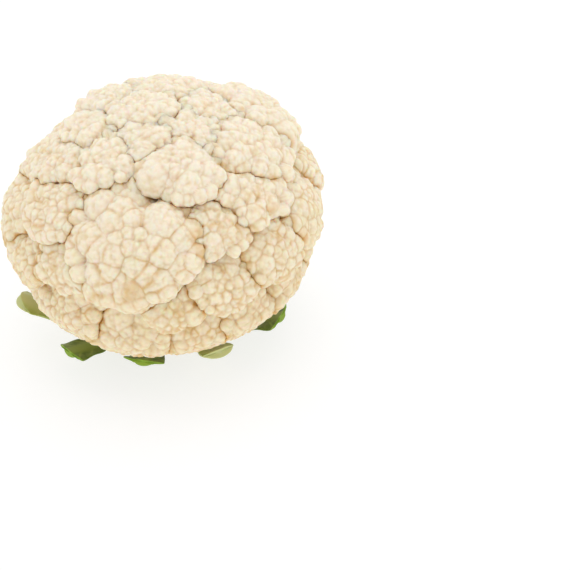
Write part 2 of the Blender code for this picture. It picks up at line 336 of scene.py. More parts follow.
def fill_flanks(floret, random):
    """(centres, radii) of balls that touch the CAD surface from inside, all over the floret's sides and
    underside. They give the branch its swelling and keep neighbours from standing apart like the tiers of
    a cake."""
    count = 150
    cosine = np.linspace(0.45, -0.90, count)
    turn = GOLDEN_ANGLE * np.arange(count) + random.uniform(0, 6)
    ways = floret.ways(turned(np.sqrt(1 - cosine**2), turn, cosine))
    reach = reach_along(floret.surface, floret.heart, ways, 0.5 * floret.half_width)
    radii = 0.34 * lump_spacing(floret.half_width) * random.uniform(0.8, 1.3, count)
    radii = np.minimum(radii, 0.6 * reach)
    return floret.heart + (reach + 0.0006 - radii)[:, None] * ways, radii


def core_balls(floret):
    """(centres, radii) of a row of balls along the axis, from the heart down to the root, which fill the
    floret under its lumps. Their radii shrink evenly down to the branch's."""
    down = np.linspace(0, 1, 12)
    length = np.linalg.norm(floret.heart - floret.root) - floret.branch_radius
    centres = floret.heart - (down * length)[:, None] * floret.axis
    swell = np.maximum(1 - down * length / (1.1 * floret.half_width), 0) ** 0.8
    return centres, floret.branch_radius + (0.56 * floret.half_width - floret.branch_radius) * swell


print("core balls from", *(round(radius * 1000, 1) for radius in core_balls(florets[0])[1][[0, -1]]), "mm")


# %% Keeping the head's outline
crown_height = max(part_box(name)[1][2] for name in floret_names)
HEAD_MIDDLE = np.array([0, 0, 0.080])
HEAD_HALF_WIDTH = 0.0905
HEAD_DROP = 0.068  # from the middle down to where the outline would close under the stalk
MOST_PROUD = 0.0030  # metres that a lump may stand out of the outline


def outline_distance(ways):
    """How far the head's outline is from its middle along each unit direction: an ellipsoid as wide as
    the head, whose upper half reaches the crown and whose lower half is flatter."""
    up = np.where(ways[:, 2] > 0, crown_height - HEAD_MIDDLE[2], HEAD_DROP)
    across = np.hypot(ways[:, 0], ways[:, 1])
    return 1 / np.sqrt((across / HEAD_HALF_WIDTH) ** 2 + (ways[:, 2] / up) ** 2)


def keep_inside(floret, centres, radii):
    """The balls' centres, drawn towards the middle where they would stand out too far. A floret that
    stands proud or lies low in the CAD model takes its whole outline out or in with it."""
    top = floret.top - HEAD_MIDDLE
    proud = np.linalg.norm(top) / outline_distance(top[None] / np.linalg.norm(top))[0]
    offset = centres - HEAD_MIDDLE
    distance = np.linalg.norm(offset, axis=1)
    ways = offset / distance[:, None]
    most = outline_distance(ways) * proud + MOST_PROUD - radii
    return HEAD_MIDDLE + np.minimum(distance, most)[:, None] * ways


for number, floret in enumerate(florets):
    random = np.random.default_rng(100 + number)
    lumps, fillers = lay_lumps(floret, random), fill_corners(floret, random)
    flanks, core = fill_flanks(floret, random), core_balls(floret)
    floret.lump_count = len(lumps[1])
    floret.centres, floret.radii = (np.concatenate(parts) for parts in zip(lumps, fillers, flanks, core))
    floret.centres = keep_inside(floret, floret.centres, floret.radii)
print(sum(floret.lump_count for floret in florets), "lumps in all")

# %% [markdown]
# ## From balls to one skin
#
# From the heart, a ray in any direction leaves each ball at a distance that school geometry gives. The skin
# is the furthest of these. A soft maximum rounds the bottom of the crease between two balls.
#
# Neighbouring florets press on each other until no gap is left. Which of them owns a point is settled as
# soap bubbles settle it: the point goes to the ball with the largest squared radius minus squared distance.
# Along a ray that is a straight line for each ball, so it is cheap to compare all balls of one floret with
# all balls round it. A ray may leave its own floret and come back, under a lump that overhangs, so what
# counts is where its last stretch at home ends. Each skin goes a quarter of a millimetre past that, into
# the other one.

# %% Distances along rays
SOFTNESS = 0.00022  # metres, the rounding at the bottom of a crease
EDGE_SOFTNESS = 0.0009  # metres, the rounding where the skin turns down between two florets


def exit_distances(origin, ways, centres, radii):
    """Where each ray leaves each ball: the ray's nearest approach plus half the chord. Missed balls give
    zero."""
    offset = (centres - origin).astype(np.float32)
    nearest = ways @ offset.T
    half_chord_squared = nearest**2 + (radii**2 - (offset**2).sum(axis=1)).astype(np.float32)
    hit = half_chord_squared > 0
    return np.where(hit, nearest + np.sqrt(np.maximum(half_chord_squared, 0)), 0)


def soft_maximum(values, softness):
    """The largest of each row, rounded: the softness times the log of the sum of exponentials of value over
    softness, taken from the largest down so that nothing overflows."""
    largest = values.max(axis=1)
    return largest + softness * np.log(np.exp((values - largest[:, None]) / softness).sum(axis=1))


upwards, ahead = np.array([[0, 0, 1]], np.float32), np.array([[0, 0, 0.010]])
left_at = exit_distances(np.zeros(3), upwards, ahead, np.array([0.003]))[0, 0]
print("a ball of 3 mm radius, 10 mm ahead, is left at", round(float(left_at) * 1000, 1), "mm")

# %% Walls between florets
FLORET_PRESS = 0.00025  # metres by which a skin goes into its neighbour's, so that no slit is left open
HALVINGS = 7  # of the last step, when a wall is looked for


def claims(origin, ways, centres, radii):
    """(start, slope) of each ball's claim along each ray. A claim is the squared radius minus the squared
    distance, without the part that is the same for all balls, which leaves a straight line."""
    offset = (centres - origin).astype(np.float32)
    return (radii**2 - (offset**2).sum(axis=1)).astype(np.float32), 2 * ways @ offset.T


def lead_at(distance, own_start, own_slope, start, slope):
    """How far the floret's own best claim is ahead of the others', at that distance along each ray."""
    own = (own_start + own_slope * distance[:, None]).max(axis=1)
    return own - (start + slope * distance[:, None]).max(axis=1)


def wall_distances(floret, ways, furthest):
    """(walls, lead). A wall is how far out each ray's last stretch inside its own floret ends: steps
    inwards find it, and halving the last step narrows it down. It is one metre where the floret owns the
    ray right up to its skin. The lead is about how many metres the skin is from a neighbour's, 0 or less
    where it meets one."""
    others = [other for other in florets if other is not floret]
    centres = np.concatenate([other.centres for other in others])
    radii = np.concatenate([other.radii for other in others])
    near = np.linalg.norm(centres - floret.heart, axis=1) < 1.25 * furthest.max() + 0.5 * radii
    start, slope = claims(floret.heart, ways, centres[near], radii[near])
    own_start, own_slope = claims(floret.heart, ways, floret.centres, floret.radii)
    # A claim changes by about twice the distance between two balls in each metre. This moves the wall out.
    spacing = lump_spacing(floret.half_width)
    press = np.float32(-FLORET_PRESS * spacing)
    walls = np.full(len(ways), np.float32(1))
    lead = lead_at(furthest, own_start, own_slope, start, slope)
    lost = np.flatnonzero(lead < press)
    slope, own_slope, furthest = slope[lost], own_slope[lost], furthest[lost]
    nearer, further = 0.1 * furthest, furthest.copy()
    searching = np.ones(len(lost), bool)
    for share in np.linspace(0.92, 0.1, 10).astype(np.float32):
        here = furthest[searching] * share
        still = lead_at(here, own_start, own_slope[searching], start, slope[searching]) < press
        further[searching] = np.where(still, here, further[searching])
        nearer[searching] = np.where(still, nearer[searching], here)
        searching[searching] = still
    for _ in range(HALVINGS):
        middle = (nearer + further) / 2
        beaten = lead_at(middle, own_start, own_slope, start, slope) < press
        further = np.where(beaten, middle, further)
        nearer = np.where(beaten, nearer, middle)
    walls[lost] = nearer
    return walls, lead / (2 * spacing)


forward = florets[0].axis[None].astype(np.float32)
walls, lead = wall_distances(florets[0], forward, np.array([florets[0].half_width], np.float32))
print("straight up the first floret, the nearest neighbour is", round(float(lead[0]) * 1000), "mm away")


# %% [markdown]
# ## A net without poles
#
# The directions from the heart come from a cube: a square grid on its top face, and rows of points that run
# down its four sides. Blown up to a sphere it has no pole, so all its cells are nearly square and nearly
# equal. The angle's tangent spaces the lines, which keeps the cells equal after the blowing up. Below the
# last row, the rows follow the branch down to the root, where one point closes the net.

# %% The net
GRAIN = 0.00048  # metres, the mesh's spacing on a floret's surface
SIDE_ROWS_DOWN = 0.80  # how far down the cube's sides the rows run, 1 being the lower edge
BRANCH_ROWS = 12


def cube_net(lines):
    """(directions, border) for a top face with that many cells across. border lists the top face's edge
    points in order, and the side rows repeat that order."""
    even = np.linspace(-1, 1, lines + 1)
    spaced = np.tan(even * math.pi / 4)
    x, y = (part.ravel() for part in np.meshgrid(spaced, spaced))
    top = np.stack([x, y, np.ones_like(x)], axis=1)
    index = np.arange((lines + 1) ** 2).reshape(lines + 1, lines + 1)
    border = np.concatenate([index[0, :-1], index[:-1, -1], index[-1, :0:-1], index[:0:-1, 0]])
    rows = int(lines * (1 + SIDE_ROWS_DOWN) / 2 * 0.72)
    down = np.linspace(0, 1, rows + 1)[1:]
    levels = np.tan((1 - (1 + SIDE_ROWS_DOWN) * (0.72 * down + 0.28 * down**3)) * math.pi / 4)
    sides = np.repeat(top[border][None], rows, axis=0)
    sides[:, :, 2] = levels[:, None]
    directions = np.concatenate([top, sides.reshape(-1, 3)])
    return directions / np.linalg.norm(directions, axis=1)[:, None], border, rows


def net_faces(lines, border, rings):
    """(quads, triangles) of a top grid, then rings of points below its border, then one closing point."""
    index = np.arange((lines + 1) ** 2).reshape(lines + 1, lines + 1)
    top = np.stack([index[:-1, :-1], index[:-1, 1:], index[1:, 1:], index[1:, :-1]], axis=-1)
    around = len(border)
    first = (lines + 1) ** 2
    ring = np.concatenate([border[None], first + np.arange(rings * around).reshape(rings, around)])
    after = np.roll(ring, -1, axis=1)
    sides = np.stack([ring[:-1], ring[1:], after[1:], after[:-1]], axis=-1)
    last = np.full(around, first + rings * around)
    closing = np.stack([ring[-1], last, after[-1]], axis=-1)
    return np.concatenate([top.reshape(-1, 4), sides.reshape(-1, 4)]), closing


directions, border, rows = cube_net(40)
print("a net of 40 lines has", len(directions), "points and", len(border), "round its border")

# %% [markdown]
# ## The curd's skin
#
# Each floret's skin is now one array calculation: rays, balls, walls, then two sizes of buds pushed out of
# the skin. The same arrays also give the finish its map of the creases. Light goes deep into the curd's
# flesh there and comes back tan, and that warm shade is painted into the colour: every point is given a
# number that says how near to a crease it is, and so how much painted shade it gets.

# %% Growing the florets
COARSE_BUD, COARSE_RISE = 0.0038, 0.0015  # metres: the bumps on each lump
FINE_BUD, FINE_RISE = 0.0020, 0.0007  # metres: the buds on each bump
CREASE_WIDTH = 0.0006  # metres, how far from a crease between two lumps its painted shade reaches
CREASE_REACH = 0.0022  # metres, the same for a crease between two florets
CREASE_SHADE_START, CREASE_SHADE_RISE = 0.0004, 0.0016  # metres below the skin: where the painted crease shade begins and how it grows
CREASE_SHADE_END, CREASE_SHADE_FADE = 0.004, 0.008  # metres below the skin: where the painted crease shade begins to go, and how slowly
LEFT_IN_SHADE = 0.25  # of the painted crease shade, kept deep in the creases and on the branches under the curd


def grow(floret):
    """(points, quads, triangles, crease, depth, hollow) of a floret's skin."""
    lines = int(round(floret.half_width * math.pi / 2 / GRAIN))
    local, border, rows = cube_net(lines)
    ways = floret.ways(local).astype(np.float32)
    exits = exit_distances(floret.heart, ways, floret.centres, floret.radii)
    outer = soft_maximum(exits, SOFTNESS)
    two = np.partition(exits, -2, axis=1)[:, -2:]
    apart = np.abs(two[:, 1] - two[:, 0])
    walls, lead = wall_distances(floret, ways, outer)
    # The skin turns down into the wall over a rounded edge: a soft minimum of the two.
    distance = -soft_maximum(-np.stack([outer, walls], axis=1), EDGE_SOFTNESS)
    points = floret.heart + distance[:, None] * ways
    coarse = bud_domes(points, COARSE_BUD)
    fine = bud_domes(points, FINE_BUD)
    open_skin = np.clip((walls - outer) / 0.002 + 1, 0, 1)
    rise = open_skin * (COARSE_RISE * (coarse - 0.7) + FINE_RISE * (fine - 0.7))
    points = points + rise[:, None] * ways
    # hollow: where the buds meet, which is given painted shade between the buds
    hollow = 1 - 0.55 * coarse - 0.45 * fine

    # How deep a point is in the crease between two florets, or how near to it, and how near it is to a crease
    # between two lumps: these say where shade is painted. Only the first few millimetres below the skin get
    # the painted shade in full, and deeper in it fades to a quarter.
    below = outer - distance
    depth = np.clip((below - CREASE_SHADE_START) / CREASE_SHADE_RISE, 0, 1)
    depth = depth * np.clip(1 - (below - CREASE_SHADE_END) / CREASE_SHADE_FADE, LEFT_IN_SHADE, 1)
    beside = np.clip(1 - lead / CREASE_REACH, 0, 1) ** 2 * (below < CREASE_SHADE_END)
    depth = np.maximum(depth, 0.75 * beside)
    # crease: painted shade along the creases between lumps, and in the hollows just below the skin
    crease = np.exp(-((apart / CREASE_WIDTH) ** 2))
    crease = np.maximum(crease, np.clip(below / 0.0008, 0, 1))

    # The branch: each of its rows is the last side row drawn in towards the axis and down to the root.
    last = points[-len(border) :]
    heights = (last - floret.root) @ floret.axis
    sideways = last - floret.root - heights[:, None] * floret.axis
    widths = np.linalg.norm(sideways, axis=1)
    down = np.linspace(0, 1, BRANCH_ROWS + 1)[1:, None]
    row_heights = heights * (1 - down)
    narrow = np.minimum(0.85 * floret.branch_radius, widths)
    row_widths = narrow + (widths - narrow) * (1 - down) ** 2
    unit_sideways = sideways / widths[:, None]
    branch = floret.root + row_heights[..., None] * floret.axis + row_widths[..., None] * unit_sideways
    points = np.concatenate([points, branch.reshape(-1, 3), floret.root[None]])
    # The branches, in the shade under the curd, get a quarter of each painted shade
    fill = np.full(BRANCH_ROWS * len(border) + 1, LEFT_IN_SHADE)
    quads, triangles = net_faces(lines, border, rows + BRANCH_ROWS)
    numbers = [np.concatenate([values, fill]) for values in (crease, depth, hollow)]
    return points, quads, triangles, numbers


print("the widest floret's net has", round(max(widths) / 1000 * math.pi / 2 / GRAIN), "lines across")


# %% All the florets at once
with ThreadPoolExecutor(4) as workers:
    skins = list(workers.map(grow, florets))
print("curd triangles:", sum(2 * len(skin[1]) + len(skin[2]) for skin in skins))

# %% [markdown]
# ## The curd's finish
#
# Curd is crisp, matt, wet flesh. Light goes a few millimetres in and comes out again, which softens every
# shadow and makes the shade in a crease warm instead of grey. So the shader has subsurface scattering that
# reaches furthest for red. On top of that, shade is painted into the colour: warm shade in the creases and
# between the buds, from ivory through straw to ochre, and a darker, warmer skirt, while a painted highlight
# makes the crown paler.

# %% Fresh curd: matt, moist, slightly see-through plant tissue
curd_finish, tree = new_material("fresh_curd")
place = add(tree, "TexCoord").outputs["Object"]
height = add(tree, "SeparateXYZ", None, {"Vector": place}).outputs["Z"]
crease, depth, hollow = (
    add(tree, "Attribute", attribute_name=name).outputs["Fac"]
    for name in ("crease", "depth", "hollow")
)
# Patches of slightly warmer curd, about 25 mm across.
patches = add(tree, "TexNoise", {"Scale": 1 / 0.025, "Detail": 2}, {"Vector": place})
ivory = [(0.3, "#F4E9D0"), (0.7, "#F0E2C2")]
skin = add(tree, "ValToRGB", None, {"Fac": patches.outputs["Fac"]}, ivory).outputs["Color"]
# Noise about 6 mm across breaks the crease lines up, as no real crease is evenly dark.
broken = add(tree, "TexNoise", {"Scale": 1 / 0.006, "Detail": 2}, {"Vector": place}).outputs["Fac"]
# Where each layer of colour shows, as a range of something measured: metres of height, noise or an attribute.
# By height, a highlight is painted on the crown, shade is painted on the skirt, and the crown gets less
# painted crease shade. By the hollow attribute, shade is painted between the buds.
ranges = {
    "crown": ({"From Min": 0.080, "From Max": 0.150}, height),
    "skirt": ({"From Min": 0.075, "From Max": 0.015, "To Max": 0.7}, height),
    "kept": ({"From Min": 0.115, "From Max": 0.155, "To Min": 1.0, "To Max": 0.3}, height),
    "uneven": ({"From Min": 0.3, "From Max": 0.7, "To Min": 0.2, "To Max": 0.85}, broken),
    "between": ({"From Min": 0.2, "From Max": 0.7, "To Max": 0.55}, hollow),
}
part = {
    name: add(tree, "MapRange", limits, {"Value": measured}).outputs["Result"]
    for name, (limits, measured) in ranges.items()
}
# Painted shade in the creases between lumps, broken up by noise, and deeper in the creases between florets.
# The crown keeps only a third of both, so it is painted as more brightly lit.
broken_crease_shade = add(tree, "Math", None, {0: crease, 1: part["uneven"]}, operation="MULTIPLY").outputs[0]
crease_shade = add(tree, "Math", None, {0: broken_crease_shade, 1: part["kept"]}, operation="MULTIPLY").outputs[0]
sunk = add(tree, "Math", None, {0: depth, 1: part["kept"]}, operation="MULTIPLY").outputs[0]
# Layers over the ivory: a painted highlight that pales the crown, painted shade that darkens and warms the
# skirt, painted straw shade between the buds, and the two painted shades of the creases.
for factor, tint in (
    (part["crown"], "#F6EBD8"),
    (part["skirt"], "#E9D5B0"),
    (part["between"], "#DFC48E"),
    (crease_shade, "#D8B06A"),
    (sunk, "#DCA246"),
):
    covered = {"Factor": factor, "A": skin}
    skin = add(tree, "Mix", {"B": linear(tint)}, covered, data_type="RGBA").outputs["Result"]
# The finest buds are about 1.3 mm apart.
buds = add(tree, "TexVoronoi", {"Scale": 1 / 0.0013}, {"Vector": place}, feature="SMOOTH_F1")
relief = {"Strength": 0.35, "Distance": 0.0004}
bump = add(tree, "Bump", relief, {"Height": buds.outputs["Distance"]}, invert=True)
flesh = {
    "Roughness": 0.62,
    "IOR": 1.40,
    "Subsurface Weight": 0.65,
    "Subsurface Radius": (1.0, 0.62, 0.28),
    "Subsurface Scale": 0.006,
}
shader = add(tree, "BsdfPrincipled", flesh, {"Base Color": skin, "Normal": bump.outputs["Normal"]})
add(tree, "OutputMaterial", None, {"Surface": shader.outputs["BSDF"]})
print("made", curd_finish.name, "with", len(tree.nodes), "nodes")

# %% Hanging the skins on the frame
for floret, (points, quads, triangles, numbers) in zip(florets, skins):
    name = floret.name.replace("floret", "curd")
    attributes = dict(zip(("crease", "depth", "hollow"), numbers))
    piece = make_piece(name, points, quads, triangles, curd_finish, **attributes)
    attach(piece, "root")
    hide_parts(floret.name)
print(len(florets), "curd pieces hung")

# %% [markdown]
# ## Trimmed leaves
#
# The head grows inside a wrapper of large leaves. For sale they are cut off short, which leaves nine stubs
# that clasp the stalk and hug the curd: a thick, pale, juicy midrib below, and a thin green blade on each
# side of it with veins that branch off the rib. Each one is a cross-section carried along a path. The path
# is the middle of the CAD leaf's upper side, so the stub lies where the frame has it. The cross-section is
# flat above and has the rib below, and it is closed by the cut at its end.

# %% Closed tubes
def tube_faces(rings, around):
    """(quads, triangles) of rings of points, with one more point that closes the first ring and one the
    last."""
    ring = np.arange(rings * around).reshape(rings, around)
    after = np.roll(ring, -1, axis=1)
    quads = np.stack([ring[:-1], after[:-1], after[1:], ring[1:]], axis=-1).reshape(-1, 4)
    first, last = np.full(around, rings * around), np.full(around, rings * around + 1)
    start = np.stack([ring[0], first, after[0]], axis=-1)
    end = np.stack([ring[-1], after[-1], last], axis=-1)
    return quads, np.concatenate([start, end])


def facing_out(points, quads, triangles):
    """The same faces, all turned round if they enclose a negative volume. The volume is a sixth of the
    sum of the corners' triple products."""
    halves = np.concatenate([quads[:, :3], quads[:, [0, 2, 3]], triangles])
    a, b, c = (points[halves[:, corner]] for corner in range(3))
    if (np.cross(a, b) * c).sum() < 0:
        return quads[:, ::-1], triangles[:, ::-1]
    return quads, triangles


print("a tube of 3 rings of 8 points has", len(tube_faces(3, 8)[0]), "quads")

# %% Reading a leaf's course
STATIONS = 110  # cross-sections along a leaf
AROUND = 120  # points round a cross-section


def smoothed(values, times):
    """The values, each replaced by the mean of itself and its neighbours, that many times. The ends stay."""
    for _ in range(times):
        values = np.concatenate([values[:1], (values[:-2] + 2 * values[1:-1] + values[2:]) / 4, values[-1:]])
    return values


def leaf_course(name):
    """(azimuth, radius, height, half width as an angle) of a CAD leaf's upper side at even steps along
    it. Rays from the head's middle, fanned out over the leaf in the upright plane through its rib, find
    the upper side."""
    points, _, surface = cad_surface(name)
    mean = points.mean(axis=0)
    azimuth = math.atan2(mean[1], mean[0])
    radius = np.hypot(points[:, 0], points[:, 1])
    offset = (np.arctan2(points[:, 1], points[:, 0]) - azimuth + math.pi) % (2 * math.pi) - math.pi
    lean = np.arctan2(radius, HEAD_MIDDLE[2] - points[:, 2])
    central = np.abs(offset) < 0.1
    leans = np.linspace(lean[central].min() + 0.01, lean[central].max() - 0.03, STATIONS)
    fan = turned(np.sin(leans), azimuth, -np.cos(leans))
    reach = reach_along(surface, HEAD_MIDDLE, fan, np.nan)
    known = np.isfinite(reach)
    reach = smoothed(np.interp(leans, leans[known], reach[known]), 12)
    near = np.abs(lean - leans[:, None]) < 0.6 * (leans[-1] - leans[0]) / 9
    widths = smoothed(np.where(near, np.abs(offset), 0).max(axis=1), 30)
    return azimuth, reach * np.sin(leans), HEAD_MIDDLE[2] - reach * np.cos(leans), widths


for name in leaf_names[:3]:
    azimuth, radius, height, widths = leaf_course(name)
    reach = round(radius[0] * 1000), "to", round(radius[-1] * 1000), "mm"
    print(name, "at", round(math.degrees(azimuth)), "degrees, from radius", *reach)

# %% Growing a leaf
RIB_HALF_WIDTH = 0.0085  # metres, at the root
VEIN_SPACING = 0.0085  # metres, along the rib
VEIN_WIDTH = 0.0008  # metres, half of what shows
END_ROUNDING = 0.0009  # metres, at the edge of the cut


def grow_leaf(name, form, random):
    """(points, quads, triangles, attributes). An angle runs round each cross-section: its cosine, spread
    towards the edges, is the place across the leaf from -1 to 1, and its sine says upper or lower side."""
    azimuth, radius, height, widths = leaf_course(name)
    station = np.linspace(0, 1, STATIONS)[:, None]
    turn = np.linspace(0, 2 * math.pi, AROUND, endpoint=False)[None]
    across = np.sign(np.cos(turn)) * np.abs(np.cos(turn)) ** 0.75
    side = np.sign(np.sin(turn)) * np.abs(np.sin(turn)) ** 0.4
    steps = np.hypot(np.diff(radius), np.diff(height))
    along = np.concatenate([[0], np.cumsum(steps)])[:, None]
    sideways = across * (widths * radius)[:, None]

    # The end: the blade stops short of the rib, and its edges wander a little, as torn or cut ones do.
    wander = np.sin(along / 0.004 + random.uniform(0, 6)) * 0.4
    wander = wander + np.sin(along / 0.0095 + random.uniform(0, 6))
    sideways = sideways * form["width"] * (1 + 0.025 * wander * station)
    share = station - form["round"] * np.abs(across) ** 2.2 * station**6

    # Thickness: the blade tapers from its middle to its edges, and the rib stands out below it.
    rib_width = RIB_HALF_WIDTH * form["rib"] * (1 - 0.35 * station)
    rib = np.exp(-((sideways / rib_width) ** 4))
    lower = np.clip(0.5 - 0.5 * side, 0, 1)
    blade = 0.0013 + 0.0010 * (1 - np.abs(across)) * (1 - 0.5 * station)
    rib_round = np.sqrt(np.clip(1 - (sideways / (1.25 * rib_width)) ** 2, 0, 1))
    rib_rise = form["rib_rise"] * (1 - 0.45 * station) * rib_round
    lead = (along - 1.1 * np.abs(sideways)) / VEIN_SPACING + random.uniform(0, 1)
    vein = np.exp(-(((lead - np.round(lead)) * VEIN_SPACING / VEIN_WIDTH) ** 2))
    vein = vein * (1 - rib) * (1 - np.abs(across) ** 4)
    below = blade * lower + (rib_rise + 0.0005 * vein) * lower**2
    below = below - 0.0012 * rib * (1 - lower) * form["channel"]
    wave = np.sin(along / 0.0045 + 2 * across + random.uniform(0, 6)) + np.sin(along / 0.0027 - 3 * across)
    below = below + form["wave"] * np.abs(across) ** 3 * (wave + 1) * station

    # Onto the course: outwards along the upper side's normal, which points away from the head's middle.
    rise = np.gradient(height), np.gradient(radius)
    size = np.hypot(*rise)
    normal_out, normal_up = rise[0] / size, -rise[1] / size
    course = [
        np.interp(share.ravel(), station[:, 0], values).reshape(share.shape)
        for values in (radius, height, normal_out, normal_up)
    ]
    out = course[0] + below * course[2]
    up = course[1] + below * course[3]
    angle = azimuth + sideways / radius[:, None]
    rings = turned(out, angle, up)

    # The end: rings that shrink to the middle of the cross-section, the first of them just round the edge.
    flat = np.ones_like(vein)
    attributes = {"vein": vein, "rib": rib, "cut": 0 * flat, "under": lower * flat}
    centre_first, centre_last = rings[0].mean(axis=0), rings[-1].mean(axis=0)
    onward = centre_last - rings[-6].mean(axis=0)
    onward /= np.linalg.norm(onward)
    shrink = np.array([0.98, 0.93, 0.85, 0.6, 0.3])[:, None, None]
    forward = END_ROUNDING * np.array([0.45, 0.85, 1.0, 0.9, 0.8])[:, None, None]
    end = centre_last + (rings[-1] - centre_last) * shrink + forward * onward
    points = np.concatenate([rings, end]).reshape(-1, 3)
    points = np.concatenate([points, centre_first[None], (centre_last + 0.0007 * onward)[None]])
    ends = len(shrink) * AROUND
    numbers = {}
    for attribute, values in attributes.items():
        fill = 1.0 if attribute == "cut" else values[-1].mean()
        tail = np.tile(values[-1], len(shrink)) if attribute != "cut" else np.linspace(0.5, 1, ends)
        numbers[attribute] = np.concatenate([values.ravel(), tail, [fill, fill]])
    quads, triangles = tube_faces(STATIONS + len(shrink), AROUND)
    return points, *facing_out(points, quads, triangles), numbers


# Two forms of stub, as shares of the CAD leaf's width and of the rib's size, and heights in metres.
PALE = {"width": 0.52, "round": 0.07, "rib": 1.35, "rib_rise": 0.0042, "channel": 1.0, "wave": 0.0003}
BLADE = {"width": 0.58, "round": 0.02, "rib": 0.7, "rib_rise": 0.0030, "channel": 0.3, "wave": 0.0006}
points = grow_leaf("leaf_1", PALE, np.random.default_rng(300))[0]
print("leaf_1 measures", np.round((points.max(axis=0) - points.min(axis=0)) * 1000), "mm")


# %% [markdown]
# ## The leaves' finish
#
# A leaf stub is waxy: its skin has a soft shine, and a bloom that makes the green look a little grey. The
# rib is nearly white inside with a thin green skin, so it looks pale yellow-green, while the blade is deep
# green above and duller below. The veins are paler than the blade. Where the knife went through, the wet
# flesh is brighter.

# %% Waxy leaf skin
def leaf_skin(name, blade, blade_below, rib_colour, cut_colour):
    """The finish of one leaf. Its colours follow the attributes that the leaf was grown with."""
    finish, tree = new_material(name)
    place = add(tree, "TexCoord").outputs["Object"]
    vein, rib, cut, under = (
        add(tree, "Attribute", attribute_name=key).outputs["Fac"]
        for key in ("vein", "rib", "cut", "under")
    )
    # Mottling about 4 mm across, as between the smallest veins.
    patchy = {"Scale": 1 / 0.004, "Detail": 4, "Roughness": 0.6}
    mottle = add(tree, "TexNoise", patchy, {"Vector": place}).outputs["Fac"]
    limits = {"From Min": 0.3, "From Max": 0.7, "To Min": 0.0, "To Max": 0.30}
    shade = add(tree, "MapRange", limits, {"Value": mottle}).outputs["Result"]
    sides = {"A": linear(blade), "B": linear(blade_below)}
    result = add(tree, "Mix", sides, {"Factor": under}, data_type="RGBA").outputs["Result"]
    for factor, tint in ((shade, "#C2CC7E"), (vein, rib_colour), (rib, rib_colour), (cut, cut_colour)):
        covered = {"Factor": factor, "A": result}
        result = add(tree, "Mix", {"B": linear(tint)}, covered, data_type="RGBA").outputs["Result"]
    # Pores in the skin, about 0.8 mm apart.
    pores = add(tree, "TexVoronoi", {"Scale": 1 / 0.0008}, {"Vector": place}).outputs["Distance"]
    bump = add(tree, "Bump", {"Strength": 0.2, "Distance": 0.0002}, {"Height": pores})
    wax = {
        "Roughness": 0.42,
        "IOR": 1.42,
        "Subsurface Weight": 0.15,
        "Subsurface Radius": (0.5, 1.0, 0.2),
        "Subsurface Scale": 0.002,
        "Sheen Weight": 0.05,
    }
    inputs = {"Base Color": result, "Normal": bump.outputs["Normal"]}
    shader = add(tree, "BsdfPrincipled", wax, inputs)
    add(tree, "OutputMaterial", None, {"Surface": shader.outputs["BSDF"]})
    return finish


pale_rib = leaf_skin("waxy_leaf_pale_rib", "#97A343", "#B0B465", "#C3C684", "#D2D69C")
green_blade = leaf_skin("waxy_leaf_green_blade", "#4E6B17", "#64801F", "#8DA045", "#93B33A")
print("made", pale_rib.name, "and", green_blade.name)

# %% Nine leaves
# The first stub keeps little but its rib. The next two are pieces of blade, cut off square, and so on round.
for number, name in enumerate(leaf_names):
    form, finish = (PALE, pale_rib) if number % 3 == 0 else (BLADE, green_blade)
    points, quads, triangles, numbers = grow_leaf(name, form, np.random.default_rng(300 + number))
    piece = make_piece("trimmed_" + name, points, quads, triangles, finish, **numbers)
    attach(piece, "root")
    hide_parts(name)
print(len(leaf_names), "leaves hung")

# %% [markdown]
# ## The stalk
#
# Under the leaves is a stout stalk with a pale skin, scars where the outer leaves were cut away, and a
# clean knife cut at its foot. On the cut the pith is moist and creamy, and a ring of darker dots near the
# edge shows where the vessels run up to the leaves. It is a profile turned round the axis: a radius for
# each height.

# %% Turning the stalk
STALK_ROWS, STALK_AROUND = 150, 200
SCARS = 7  # leaves that were cut away whole


